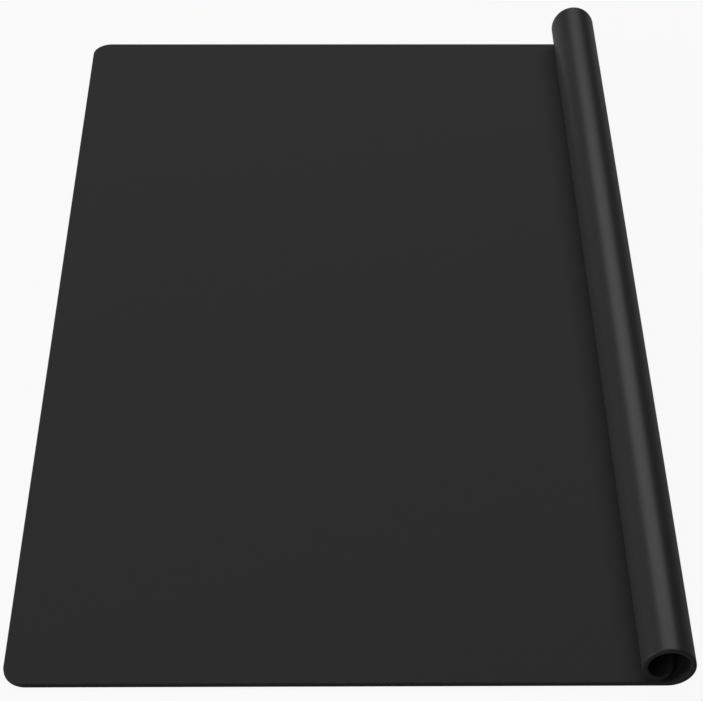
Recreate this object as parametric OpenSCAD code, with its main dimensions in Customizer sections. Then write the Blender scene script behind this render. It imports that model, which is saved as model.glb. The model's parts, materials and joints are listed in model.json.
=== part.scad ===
// Silicone counter mat: one thin moulded sheet that lies flat, with its right end rolled up.
// The flat part is one panel. The rolled part is cut across into narrow arc strips, each hinged
// to the one before it along the outer face, so the roll opens until the whole mat lies flat.
// The roll is slack: it is a little tighter and rounder at its front end, and wider and higher than
// it is wide at its back end. So each strip is a piece of its own slim cone, and the strips fan out.
// X runs from the flat part to the roll, Y along the roll and Z up. The origin is the middle
// of the flat part's underside.

/* [Sheet] */
// Length of the mat, along the roll
sheet_l = 400; // [250:5:600]
// Width of the mat when it is unrolled
sheet_w = 300; // [200:5:500]
// Thickness of the silicone
sheet_t = 2; // [1:0.1:3]
// Radius of the mat's four corners
corner_r = 8.5; // [4:0.5:20]

/* [Roll] */
// Mean outer radius of the roll's outer turn at the front end
roll_r = 9.75; // [9.5:0.05:20]
// That radius at the back end, as a multiple of the one at the front end
flare_ratio = 1.12; // [1:0.005:1.3]
// How far the radius swings round the front end, as a share of its mean. The roll is higher than
// it is wide, so its sides have the largest radius.
front_oval = 0.05; // [0:0.01:0.1]
// That swing at the back end
back_oval = 0.22; // [0:0.01:0.25]
// Space between one turn of the roll and the next
turn_gap = 0.4; // [0.3:0.05:1]
// Angle that the sheet winds through at the front end, from the counter to its free edge
roll_angle = 412; // [285:1:440]
// Strips that the rolled part bends in
strip_count = 32; // [20:1:50]
// Hairline cut that frees one strip from the next
strip_cut = 0.02; // [0.01:0.01:0.1]

/* [Hidden] */
function strip_name(i) = str("roll_strip_", i < 9 ? "0" : "", i + 1);
$fn = 96;

silicone = "#2c2c2c";

// How far a cut runs past the sheet's edges
overrun = sheet_t;

// Angle that one strip bends through
step = roll_angle / strip_count;

// Three quarters of the way round, the sheet turns in to pass inside its own start. These are
// the strips before that.
outer_strips = round(270 / step);

function total(values, count) = count == 0 ? 0 : values[count - 1] + total(values, count - 1);

// Outer radii of the strips at one end of the roll. After the outer strips they are equal, and so
// small that the sheet comes down to the counter with just the gap between it and its own start.
function outer_r(mean, oval, i) = mean * (1 - oval * cos((2 * i + 1) * step));
function outer_rise(mean, oval) = total([for (i = [0 : outer_strips - 1])
    outer_r(mean, oval, i) * (cos(i * step) - cos((i + 1) * step))], outer_strips);
function inner_r(mean, oval) =
    (outer_rise(mean, oval) - sheet_t - turn_gap) / (1 - cos(outer_strips * step));
function radii(mean, oval) = [for (i = [0 : strip_count - 1])
    i < outer_strips ? outer_r(mean, oval, i) : inner_r(mean, oval)];
front_radii = radii(roll_r, front_oval);
back_radii = radii(roll_r * flare_ratio, back_oval);

// Angle between each strip's outer face and the axis of its cone
tapers = [for (i = [0 : strip_count - 1]) asin((back_radii[i] - front_radii[i]) / sheet_l)];

// Angle of a strip's hairline cut, and the length of sheet in each strip at the front end
function cut_angle(i) = strip_cut / front_radii[i] * 180 / PI;
arc_lengths = front_radii * step * PI / 180;

rolled_w = total(arc_lengths, strip_count);
flat_w = sheet_w - rolled_w;

// On the unrolled mat the strips fan out. These are how far each one widens to the right, how far
// the middle line of a strip leans that way, and the front end of the line where it starts.
fans = [for (taper = tapers) step * sin(taper)];
function lean(i) = total(fans, i) + fans[i] / 2;
function flat_start(i) = i == 0
    ? [flat_w / 2, -sheet_l / 2]
    : flat_start(i - 1) + arc_lengths[i - 1] * [cos(lean(i - 1)), -sin(lean(i - 1))];

// How far a raw strip runs past both ends of the sheet. It is more where the strips fan out more.
raw_extra = overrun + rolled_w * sin(total(fans, strip_count));

// What a rounded corner cuts off a square one that has its tip at the origin
module corner_waste() {
    difference() {
        translate([-corner_r, -corner_r])
            square(corner_r + overrun);
        translate([-corner_r, -corner_r])
            circle(r = corner_r);
    }
}

// Outline of the unrolled mat
module mat_outline() {
    translate([(sheet_w - flat_w) / 2, 0])
        difference() {
            square([sheet_w, sheet_l], center = true);
            for (side = [0, 1], end = [0, 1])
                mirror([side, 0])
                    mirror([0, end])
                        translate([sheet_w / 2, sheet_l / 2])
                            corner_waste();
        }
}

// The outline as a strip sees it, with the front end of the strip's middle line at the origin
// and that line along Y
module outline_from(i) {
    middle = (flat_start(i) + flat_start(i + 1)) / 2;
    rotate(lean(i))
        translate(-middle)
            mat_outline();
}

// Raw strip, longer than the mat, with its middle line along Y and its outer face down. The hairline
// cut is on the side that meets the strip before.
module raw_strip(i) {
    wall = sheet_t / cos(tapers[i]);
    front = front_radii[i] - raw_extra * tan(tapers[i]);
    back = front_radii[i] + (sheet_l + raw_extra) * tan(tapers[i]);
    rotate([tapers[i], 0, 0])
        translate([0, 0, front_radii[i]])
            rotate([-90, 0, 0])
                rotate([0, 0, 90 - step / 2])
                    rotate_extrude(angle = step - cut_angle(i))
                        polygon([[front - wall, -raw_extra], [front, -raw_extra],
                            [back, sheet_l + raw_extra], [back - wall, sheet_l + raw_extra]]);
}

// Turns a piece that lies along Y, as strip i does, about the axis of that strip
module bend(i, angle) {
    rotate([tapers[i], 0, 0])
        translate([0, 0, front_radii[i]])
            rotate([0, -angle, 0])
                translate([0, 0, -front_radii[i]])
                    rotate([-tapers[i], 0, 0])
                        children();
}

// Moves a piece that lies along Y to the line where strip i starts
module start_of(i) {
    if (i == 0)
        translate([flat_w / 2, -sheet_l / 2, 0])
            children();
    else
        start_of(i - 1)
            bend(i - 1, step)
                children();
}

// The flat part, with the mat's two corners at its left end
module flat_sheet() {
    color(silicone)
        linear_extrude(sheet_t)
            intersection() {
                mat_outline();
                translate([-flat_w / 2 - overrun, -sheet_l / 2 - overrun])
                    square([flat_w + overrun, sheet_l + 2 * overrun]);
            }
}

// One strip of the roll, trimmed to the outline of the mat
module roll_strip(i) {
    color(silicone)
        start_of(i)
            bend(i, step / 2)
                intersection() {
                    raw_strip(i);
                    translate([0, 0, -overrun])
                        linear_extrude(front_radii[i] + overrun)
                            outline_from(i);
                }
}

flat_sheet();
for (i = [0 : strip_count - 1])
    roll_strip(i);
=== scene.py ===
"""Looks of a silicone counter mat: one moulded sheet that lies flat, with its right end rolled up.

The sheet is moulded flat, cut across where the roll's strips have their middles, and each length
of it is then bent round the strips' own cones. Lengths are in metres.
"""
import json
import math

import bmesh
import bpy
from bpy.props import FloatProperty, FloatVectorProperty, IntProperty, PointerProperty
from mathutils import Matrix, Vector

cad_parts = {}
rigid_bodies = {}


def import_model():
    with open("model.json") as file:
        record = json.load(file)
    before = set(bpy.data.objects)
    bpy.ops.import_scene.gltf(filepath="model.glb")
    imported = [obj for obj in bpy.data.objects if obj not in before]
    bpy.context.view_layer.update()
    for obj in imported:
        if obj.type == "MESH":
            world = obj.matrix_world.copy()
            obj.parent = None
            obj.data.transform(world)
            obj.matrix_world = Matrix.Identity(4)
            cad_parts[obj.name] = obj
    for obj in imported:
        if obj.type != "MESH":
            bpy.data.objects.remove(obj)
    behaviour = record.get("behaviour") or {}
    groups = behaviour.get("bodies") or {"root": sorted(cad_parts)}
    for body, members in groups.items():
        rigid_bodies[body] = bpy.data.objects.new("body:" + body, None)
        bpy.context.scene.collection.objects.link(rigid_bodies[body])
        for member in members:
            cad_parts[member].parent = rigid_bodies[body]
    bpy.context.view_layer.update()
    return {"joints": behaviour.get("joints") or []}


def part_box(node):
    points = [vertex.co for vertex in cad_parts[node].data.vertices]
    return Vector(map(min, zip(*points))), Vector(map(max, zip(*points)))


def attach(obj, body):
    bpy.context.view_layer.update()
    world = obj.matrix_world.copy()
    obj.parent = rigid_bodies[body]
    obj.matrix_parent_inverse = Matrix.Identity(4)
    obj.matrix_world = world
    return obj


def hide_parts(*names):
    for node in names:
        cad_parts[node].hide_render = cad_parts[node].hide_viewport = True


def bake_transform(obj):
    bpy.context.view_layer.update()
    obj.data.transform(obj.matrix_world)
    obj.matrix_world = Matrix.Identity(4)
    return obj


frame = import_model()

bl_info = {
    "name": "Silicone Counter Mat",
    "version": (1, 0, 0),
    "blender": (4, 5, 0),
    "location": "View3D > Sidebar > Counter Mat",
    "description": "Builds a rolled silicone counter mat on its CAD frame, with a studio round it",
    "category": "Add Mesh",
}

HINGES = frame["joints"]
STRIPS = len(HINGES)
FLAT_NODE = HINGES[0]["parent"]
STRIP_ANGLE = math.radians(HINGES[1]["range_deg"][1])
FLAT_LOW, FLAT_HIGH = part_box(FLAT_NODE)
THICKNESS = FLAT_HIGH.z - FLAT_LOW.z
SHEET_LENGTH = FLAT_HIGH.y - FLAT_LOW.y

# The front end of the line where the roll starts
ROLL_START = Vector(HINGES[0]["pos_m"])

# The attribute that holds each point's place on the sheet while it lies flat
PLACE = "flat_place"

# How near to a cut a point counts as lying on it
CUT_TOLERANCE = 1e-8

# The bevel profile that is an arc of a circle
ROUND_PROFILE = 0.5

# From the start of a strip to its middle, counted in strips
HALF_STRIP = 0.5

# Index of refraction
SILICONE_IOR = 1.43

# Sizes of the silicone's uneven spots, small to large, and how many grains wide its orange peel is
CLOUD_SIZE = 0.011
DRIFT_SIZE = 0.06
PEEL_GRAINS = 6

# Shifts that set the noises apart from each other, and their levels of detail
DRIFT_SHIFT, CLOUD_SHIFT, PEEL_SHIFT = 0.7, 1.9, 3.1
SPOT_DETAIL, GRAIN_DETAIL = 3, 2

# How far the shade spreads to both sides of the colour, and what drift, clouds and grain make of it
SHADE_SPREAD = 0.07
DRIFT_SHADE, CLOUD_SHADE, GRAIN_SHADE = 0.6, 0.25, 0.15

# How far drift and grain spread the roughness
DRIFT_SHEEN, GRAIN_SHEEN = 0.05, 0.03

# What grain and orange peel make of the surface's height
GRAIN_HEIGHT, PEEL_HEIGHT = 0.6, 0.4

# How far the floor reaches from the middle to each side, and how far it lies below the mat
FLOOR_REACH = 15
FLOOR_DROP = 0.0002

# How much of the plain backdrop the camera sees, and how much of it gloss mirrors
BACKDROP_SEEN = 0.95
BACKDROP_MIRRORED = 0.02

# Each lamp's name, its bearing clockwise from the back and its height above the floor in degrees,
# its width and depth in metres, and its power in watts
LAMPS = (
    ("left", -92, 15, 2.4, 2.4, 256),
    ("back", 5, 44, 5.2, 1.0, 130),
    ("back_high", 5, 55, 5.2, 1.0, 110),
    ("front_left", -135, 40, 2.4, 2.4, 36),
    ("front_low", -172, 8, 2.4, 1.2, 45),
)
LAMP_DISTANCE = 6

# Where the photograph was taken from, and the camera's pitch, yaw and roll in degrees
CAMERA_PLACE = (-0.000344, -0.664468, 0.584209)
CAMERA_TURNS = (42.332, 0.6952, 0.3749)

# The line on the outer face where each strip starts: its front end, and the way it runs
LINES = [(Vector(hinge["pos_m"]), Vector(hinge["axis"])) for hinge in HINGES]


def strip_cones():
    """Each strip's outer radius at the front end, and the angle between its face and its cone's axis."""
    chord = 2 * math.sin(STRIP_ANGLE / 2)
    cones = []
    for (start, way), (next_start, next_way) in zip(LINES, LINES[1:]):
        width, fan = next_start - start, next_way - way
        cones.append((width.length / chord, math.asin(math.copysign(fan.length, width.dot(fan)) / chord)))
    return [*cones, cones[-1]]


CONES = strip_cones()
ARC_LENGTHS = [radius * STRIP_ANGLE for radius, _ in CONES]
ROLLED_WIDTH = sum(ARC_LENGTHS)
SHEET_WIDTH = ROLL_START.x - FLAT_LOW.x + ROLLED_WIDTH

# On the flat sheet the strips fan out: how far each one widens, and how far each line leans
FANS = [STRIP_ANGLE * math.sin(taper) for _, taper in CONES]
LEANS = [sum(FANS[:i]) for i in range(STRIPS + 1)]


def turn(strip, angle):
    """The turn by that angle about the axis of a strip that starts along Y."""
    radius, taper = CONES[strip]
    axis = Matrix.Rotation(taper, 4, "X") @ Matrix.Translation((0, 0, radius))
    return axis @ Matrix.Rotation(-angle, 4, "Y") @ axis.inverted()


def strip_frames():
    """Where the roll puts the origin and the axes of each strip, which starts along Y."""
    frames = [Matrix.Translation(ROLL_START)]
    for strip in range(STRIPS - 1):
        frames.append(frames[-1] @ turn(strip, STRIP_ANGLE))
    return frames


FRAMES = strip_frames()


def ahead(lean):
    """The way that a line on the flat sheet runs, from its front end, when it leans that far."""
    return Vector((math.sin(lean), math.cos(lean), 0))


def across(lean):
    """The way straight across such a line, to its right."""
    return Vector((math.cos(lean), -math.sin(lean), 0))


def strip_starts():
    """The front ends of the lines on the flat sheet where the strips start. X is 0 at the first."""
    starts = [Vector((0, -SHEET_LENGTH / 2, 0))]
    for i, length in enumerate(ARC_LENGTHS):
        starts.append(starts[-1] + length * across(LEANS[i] + FANS[i] / 2))
    return starts


STARTS = strip_starts()


def line_on_sheet(strips):
    """The line that lies that many strips along the flat sheet: its front end, and how far it leans."""
    i = min(max(math.floor(strips), 0), STRIPS - 1)
    part = strips - i
    fan = max(part, 0) * FANS[i]
    return STARTS[i] + part * ARC_LENGTHS[i] * across(LEANS[i] + fan / 2), LEANS[i] + fan


def rolled(place):
    """Where a point of the flat sheet lies once the sheet is rolled. X is 0 where the roll starts."""
    if place.x <= 0:
        return Vector((ROLL_START.x + place.x, place.y, place.z))
    i = 0
    while i < STRIPS - 1 and (place - STARTS[i + 1]).dot(across(LEANS[i + 1])) > 0:
        i += 1
    radius, taper = CONES[i]
    apex = radius / math.sin(taper)
    along = (place - STARTS[i]).dot(ahead(LEANS[i])) + apex
    fan = math.atan((place - STARTS[i]).dot(across(LEANS[i])) / along)
    return FRAMES[i] @ turn(i, fan / math.sin(taper)) @ Vector((0, along / math.cos(fan) - apex, place.z))


def inner_point(strips):
    """The rolled sheet's inner face, that many strips along and half way from end to end."""
    front, lean = line_on_sheet(strips)
    return rolled(front + SHEET_LENGTH / 2 * ahead(lean) + Vector((0, 0, THICKNESS)))


class MatSizes(bpy.types.PropertyGroup):
    """Sizes of the sheet that the CAD frame doesn't give"""

    corner_radius: FloatProperty(
        name="Corner radius", description="Radius of the mat's four corners",
        default=0.0085, min=0.001, max=0.05, subtype="DISTANCE", unit="LENGTH")
    rim_radius: FloatProperty(
        name="Rim radius", description="How far the mould rounds the sheet's edges over",
        default=0.00045, min=0.0001, max=0.0009, subtype="DISTANCE", unit="LENGTH")
    corner_steps: IntProperty(
        name="Corner steps", description="Facets round each of the mat's corners",
        default=24, min=4, max=64)
    rim_steps: IntProperty(
        name="Rim steps", description="Facets across each rounded edge", default=4, min=1, max=8)
    bend_steps: IntProperty(
        name="Bend steps", description="Facets along each strip of the roll, an even number",
        default=24, min=2, max=48, step=2)


class MatFinish(bpy.types.PropertyGroup):
    """Colour and finish of the silicone"""

    colour: FloatVectorProperty(
        name="Silicone", description="Colour of the silicone", subtype="COLOR", size=3,
        default=(0.0246, 0.0246, 0.0246), min=0, max=1)
    top_roughness: FloatProperty(
        name="Top roughness", description="Roughness of the matte side that food touches",
        default=0.82, min=0, max=1, subtype="FACTOR")
    underside_roughness: FloatProperty(
        name="Underside roughness", description="Roughness of the smoother side that grips the counter",
        default=0.4, min=0, max=1, subtype="FACTOR")
    top_specular: FloatProperty(
        name="Top gloss", description="Specular level of the matte side",
        default=0.2, min=0, max=1, subtype="FACTOR")
    underside_specular: FloatProperty(
        name="Underside gloss", description="Specular level of the side that grips the counter",
        default=0.17, min=0, max=1, subtype="FACTOR")
    grain_size: FloatProperty(
        name="Grain size", description="Width of the grain that the mould leaves in the surface",
        default=0.0004, min=0.0001, max=0.005, subtype="DISTANCE", unit="LENGTH")
    grain_depth: FloatProperty(
        name="Grain depth", description="Depth of that grain",
        default=0.000006, min=0, max=0.0002, precision=6, subtype="DISTANCE", unit="LENGTH")


class MatStudio(bpy.types.PropertyGroup):
    """The floor, the world's light and the camera"""

    floor_colour: FloatVectorProperty(
        name="Floor", description="Colour of the studio floor", subtype="COLOR", size=3,
        default=(0.5, 0.5, 0.5), min=0, max=1)
    floor_white: FloatProperty(
        name="Backdrop", description="How bright the camera sees the floor and the sky, 1 being white",
        default=0.98, min=0, max=1, subtype="FACTOR")
    world_light: FloatProperty(
        name="World light", description="Strength of the plain light from all round",
        default=0.02, min=0, max=2)
    lens: FloatProperty(
        name="Lens", description="Focal length of the camera", default=106.668, min=20, max=300,
        subtype="DISTANCE_CAMERA", unit="CAMERA")


class Value:
    """A shader socket that Python's operators work on, by adding Math nodes."""

    def __init__(self, tree, socket):
        self.tree, self.socket = tree, socket

    def maths(self, operation, *operands):
        return self.tree.node("ShaderNodeMath", {"operation": operation}, dict(enumerate(operands)))

    def __add__(self, other):
        return self.maths("ADD", self, other)

    def __mul__(self, other):
        return self.maths("MULTIPLY", self, other)

    __radd__ = __add__


class NodeTree:
    """The nodes of one material or of the world."""

    def __init__(self, owner):
        owner.use_nodes = True
        self.nodes, self.links = owner.node_tree.nodes, owner.node_tree.links
        self.nodes.clear()

    def node(self, kind, settings=None, sockets=None, output=0):
        made = self.nodes.new(kind)
        for name, value in (settings or {}).items():
            setattr(made, name, value)
        for name, value in (sockets or {}).items():
            if isinstance(value, Value):
                self.links.new(value.socket, made.inputs[name])
            else:
                made.inputs[name].default_value = value
        return Value(self, made.outputs[output]) if made.outputs else None


def cut_at(bm, strips, keep=None):
    """Cuts the sheet that many strips along. keep is the side that stays: -1 left, 1 right, None both."""
    front, lean = line_on_sheet(strips)
    bmesh.ops.bisect_plane(
        bm, geom=bm.verts[:] + bm.edges[:] + bm.faces[:], dist=CUT_TOLERANCE, plane_co=front,
        plane_no=across(lean), clear_outer=keep == -1, clear_inner=keep == 1)


def moulded_sheet(sizes):
    """The whole mat while it is flat, its corners and rims rounded. X is 0 where the roll starts."""
    bm = bmesh.new()
    bmesh.ops.create_cube(bm, size=1)
    bmesh.ops.scale(bm, vec=(SHEET_WIDTH, SHEET_LENGTH, THICKNESS), verts=bm.verts)
    middle = (ROLLED_WIDTH - SHEET_WIDTH / 2, 0, THICKNESS / 2)
    bmesh.ops.translate(bm, vec=middle, verts=bm.verts)

    def bevel(edges, offset, segments):
        bmesh.ops.bevel(bm, geom=edges, offset=offset, segments=segments, profile=ROUND_PROFILE,
                        affect="EDGES", offset_type="OFFSET", clamp_overlap=True, material=-1)

    # First the upright edges at the corners, then the edges round the top and round the underside
    bevel([e for e in bm.edges if e.verts[0].co.z != e.verts[1].co.z],
          sizes.corner_radius, sizes.corner_steps)
    bm.normal_update()
    bevel([e for e in bm.edges if any(round(f.normal.z) for f in e.link_faces)],
          sizes.rim_radius, sizes.rim_steps)
    bm.normal_update()

    # A narrow band inside the rims keeps the top and the underside flat where they are shaded
    broad = sorted(bm.faces, key=lambda f: f.calc_area())[-2:]
    bmesh.ops.inset_region(bm, faces=broad, thickness=sizes.rim_radius / 2, use_even_offset=True)
    for face in bm.faces:
        face.smooth = True
        face.material_index = int(face.calc_center_median().z < sizes.rim_radius / 2)
    return bm


def length_of_sheet(whole, name, start, end, cuts=()):
    """A piece made from the flat sheet between start and end, cut across at cuts and then rolled up.

    These places count the strips from the start of the roll, and None is the sheet's own edge.
    """
    bm = whole.copy()
    if start is not None:
        cut_at(bm, start, keep=1)
    if end is not None:
        cut_at(bm, end, keep=-1)
    for place in cuts:
        cut_at(bm, place)
    open_edges = [e for e in bm.edges if len(e.link_faces) == 1]
    for edge in open_edges:
        edge.smooth = False
    bmesh.ops.holes_fill(bm, edges=open_edges, sides=0)
    bmesh.ops.recalc_face_normals(bm, faces=bm.faces)
    layer = bm.verts.layers.float_vector.new(PLACE)
    for vert in bm.verts:
        vert[layer] = vert.co
        vert.co = rolled(vert.co)
    mesh = bpy.data.meshes.new(name)
    bm.to_mesh(mesh)
    bm.free()
    piece = bpy.data.objects.new(name, mesh)
    bpy.context.scene.collection.objects.link(piece)
    for finish in (silicone_top(), silicone_underside()):
        mesh.materials.append(finish)
    return piece


def silicone(name, roughness, specular):
    """Moulded silicone with a fine grain and a faint drift of shade and sheen."""
    look = bpy.context.scene.counter_mat_finish
    material = bpy.data.materials.new(name)
    tree = NodeTree(material)
    place = tree.node("ShaderNodeAttribute", {"attribute_name": PLACE}, output="Vector")

    def noise(size, detail, shift):
        moved = tree.node("ShaderNodeVectorMath", {"operation": "ADD"}, {0: place, 1: (shift,) * 3})
        return tree.node("ShaderNodeTexNoise", {}, {"Vector": moved, "Scale": 1 / size, "Detail": detail})

    drift = noise(DRIFT_SIZE, SPOT_DETAIL, DRIFT_SHIFT)
    clouds = noise(CLOUD_SIZE, SPOT_DETAIL, CLOUD_SHIFT)
    grain = noise(look.grain_size, GRAIN_DETAIL, 0)
    peel = noise(PEEL_GRAINS * look.grain_size, GRAIN_DETAIL, PEEL_SHIFT)
    shade = drift * DRIFT_SHADE + clouds * CLOUD_SHADE + grain * GRAIN_SHADE
    dark, light = [(*(Vector(look.colour) * level), 1) for level in (1 - SHADE_SPREAD, 1 + SHADE_SPREAD)]
    base = tree.node("ShaderNodeMix", {"data_type": "RGBA"}, {0: shade, 6: dark, 7: light}, output=2)

    # The noises are about one half on average, so on average the roughness is as set
    smoothest = roughness - (DRIFT_SHEEN + GRAIN_SHEEN) / 2
    sheen = smoothest + drift * DRIFT_SHEEN + grain * GRAIN_SHEEN
    height = grain * GRAIN_HEIGHT + peel * PEEL_HEIGHT
    bump = tree.node("ShaderNodeBump", {}, {
        "Strength": 1.0, "Distance": look.grain_depth, "Height": height})
    shader = tree.node("ShaderNodeBsdfPrincipled", {}, {
        "Base Color": base, "Roughness": sheen, "Normal": bump, "Specular IOR Level": specular,
        "IOR": SILICONE_IOR})
    tree.node("ShaderNodeOutputMaterial", {}, {"Surface": shader})
    return material


def silicone_top():
    look = bpy.context.scene.counter_mat_finish
    return bpy.data.materials.get("silicone_top") or silicone(
        "silicone_top", look.top_roughness, look.top_specular)


def silicone_underside():
    look = bpy.context.scene.counter_mat_finish
    return bpy.data.materials.get("silicone_underside") or silicone(
        "silicone_underside", look.underside_roughness, look.underside_specular)


class MatFlatPart(bpy.types.Operator):
    """Add the part of the mat that lies flat"""

    bl_idname = "counter_mat.flat_part"
    bl_label = "Flat part"

    def execute(self, context):
        whole = moulded_sheet(context.scene.counter_mat_sizes)
        piece = length_of_sheet(whole, "flat_part", None, -HALF_STRIP)
        whole.free()
        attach(piece, FLAT_NODE)
        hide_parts(FLAT_NODE)
        return {"FINISHED"}


class MatBends(bpy.types.Operator):
    """Add the bent lengths of the roll, one across each hinge"""

    bl_idname = "counter_mat.bends"
    bl_label = "Bends of the roll"

    def execute(self, context):
        sizes = context.scene.counter_mat_sizes
        whole = moulded_sheet(sizes)
        half = sizes.bend_steps // 2
        for i, hinge in enumerate(HINGES):
            start, end = i - HALF_STRIP, i + HALF_STRIP

            # The first length is flat before the start of the roll, so its cuts begin there
            first = 0 if i == 0 else 1 - half
            cuts = [i + k / sizes.bend_steps for k in range(first, half)]
            piece = length_of_sheet(whole, f"bend_{i + 1:02d}", start, end, cuts)
            inner_point(start)
            inner_point(end)
            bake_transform(piece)
            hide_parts(hinge["child"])
        whole.free()
        return {"FINISHED"}


class MatFreeEdge(bpy.types.Operator):
    bl_idname = "counter_mat.free_edge"
    bl_label = "Free edge"

    def execute(self, context):
        sizes = context.scene.counter_mat_sizes
        whole = moulded_sheet(sizes)
        middle = STRIPS - HALF_STRIP
        cuts = [middle + k / sizes.bend_steps for k in range(1, sizes.bend_steps // 2)]
        piece = length_of_sheet(whole, "free_edge", middle, None, cuts)
        whole.free()
        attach(piece, HINGES[-1]["child"])
        return {"FINISHED"}


def softbox(name, bearing, height, width, depth, power):
    """A lamp that points at the origin. Its numbers are as in LAMPS."""
    lamp = bpy.data.lights.new(name, "AREA")
    lamp.shape, lamp.size, lamp.size_y, lamp.energy = "RECTANGLE", width, depth, power
    holder = bpy.data.objects.new(name, lamp)
    turned, raised = math.radians(bearing), math.radians(height)
    level = Vector((math.sin(turned), math.cos(turned), 0))
    holder.location = LAMP_DISTANCE * (level * math.cos(raised) + Vector((0, 0, math.sin(raised))))
    holder.rotation_euler = (-holder.location).to_track_quat("-Z", "Y").to_euler()
    bpy.context.scene.collection.objects.link(holder)


def place_camera(studio):
    """The camera where the photograph was taken from."""
    pitch, yaw, roll = (math.radians(angle) for angle in CAMERA_TURNS)
    view = Vector((math.sin(yaw) * math.cos(pitch), math.cos(yaw) * math.cos(pitch), -math.sin(pitch)))
    right = Vector((math.cos(yaw), -math.sin(yaw), 0))
    up = right.cross(view)
    right, up = (math.cos(roll) * right + math.sin(roll) * up,
                 math.cos(roll) * up - math.sin(roll) * right)
    camera = bpy.data.cameras.new("camera")
    camera.lens = studio.lens
    holder = bpy.data.objects.new("camera", camera)
    turned = Matrix((right, up, -view)).transposed().to_4x4()
    holder.matrix_world = Matrix.Translation(CAMERA_PLACE) @ turned
    bpy.context.scene.collection.objects.link(holder)
    bpy.context.scene.camera = holder


def backdrop_share(tree):
    """How far a ray sees the plain backdrop: nearly all of it from the camera, a little in gloss."""
    camera, gloss, glass = [tree.node("ShaderNodeLightPath", output=kind)
                            for kind in ("Is Camera Ray", "Is Glossy Ray", "Is Transmission Ray")]
    return camera * BACKDROP_SEEN + (gloss + glass) * BACKDROP_MIRRORED


def floor_finish(studio):
    """A pale floor that the camera sees near white, and that keeps a little of the shadow."""
    material = bpy.data.materials.new("floor")
    tree = NodeTree(material)
    paint = tree.node("ShaderNodeBsdfDiffuse", {}, {"Color": (*studio.floor_colour, 1)})
    white = tree.node("ShaderNodeEmission", {}, {
        "Color": (studio.floor_white,) * 3 + (1,), "Strength": 1.0})
    shader = tree.node("ShaderNodeMixShader", {}, {0: backdrop_share(tree), 1: paint, 2: white})
    tree.node("ShaderNodeOutputMaterial", {}, {"Surface": shader})
    return material


def lay_floor(studio):
    """The level floor that the mat lies on."""
    bm = bmesh.new()
    bmesh.ops.create_grid(bm, x_segments=1, y_segments=1, size=FLOOR_REACH)
    bmesh.ops.translate(bm, vec=(0, 0, -FLOOR_DROP), verts=bm.verts)
    mesh = bpy.data.meshes.new("floor")
    bm.to_mesh(mesh)
    bm.free()
    floor = bpy.data.objects.new("floor", mesh)
    bpy.context.scene.collection.objects.link(floor)
    mesh.materials.append(floor_finish(studio))


def light_world(studio):
    """A faint white light from all round, and the backdrop where the camera sees past the floor."""
    world = bpy.data.worlds.new("studio")
    bpy.context.scene.world = world
    tree = NodeTree(world)
    level = backdrop_share(tree) * studio.floor_white + studio.world_light
    light = tree.node("ShaderNodeBackground", {}, {"Color": (1, 1, 1, 1), "Strength": level})
    tree.node("ShaderNodeOutputWorld", {}, {"Surface": light})


class MatStage(bpy.types.Operator):
    """Add the floor, the lamps, the world's light and the camera"""

    bl_idname = "counter_mat.stage"
    bl_label = "Stage"

    def execute(self, context):
        studio = context.scene.counter_mat_studio
        context.scene.view_settings.view_transform = "Standard"
        lay_floor(studio)
        for lamp in LAMPS:
            softbox(*lamp)
        light_world(studio)
        place_camera(studio)
        return {"FINISHED"}


class MatPanel(bpy.types.Panel):
    """Shows the settings and the pieces of the counter mat"""

    bl_idname = "VIEW3D_PT_counter_mat"
    bl_label = "Counter Mat"
    bl_space_type = "VIEW_3D"
    bl_region_type = "UI"
    bl_category = "Counter Mat"

    def draw(self, context):
        for group in SETTINGS:
            settings = getattr(context.scene, group)
            box = self.layout.box()
            for name in settings.__annotations__:
                box.prop(settings, name)
        for piece in PIECES:
            self.layout.operator(piece.bl_idname)


SETTINGS = {
    "counter_mat_sizes": MatSizes,
    "counter_mat_finish": MatFinish,
    "counter_mat_studio": MatStudio,
}
PIECES = (MatFlatPart, MatBends, MatFreeEdge, MatStage)
CLASSES = (*SETTINGS.values(), *PIECES, MatPanel)


def register():
    for cls in CLASSES:
        bpy.utils.register_class(cls)
    for name, cls in SETTINGS.items():
        setattr(bpy.types.Scene, name, PointerProperty(type=cls))


def unregister():
    for name in SETTINGS:
        delattr(bpy.types.Scene, name)
    for cls in reversed(CLASSES):
        bpy.utils.unregister_class(cls)


def main():
    register()
    bpy.ops.counter_mat.flat_part()
    bpy.ops.counter_mat.bends()
    bpy.ops.counter_mat.free_edge()
    bpy.ops.counter_mat.stage()


if __name__ == "__main__":
    main()
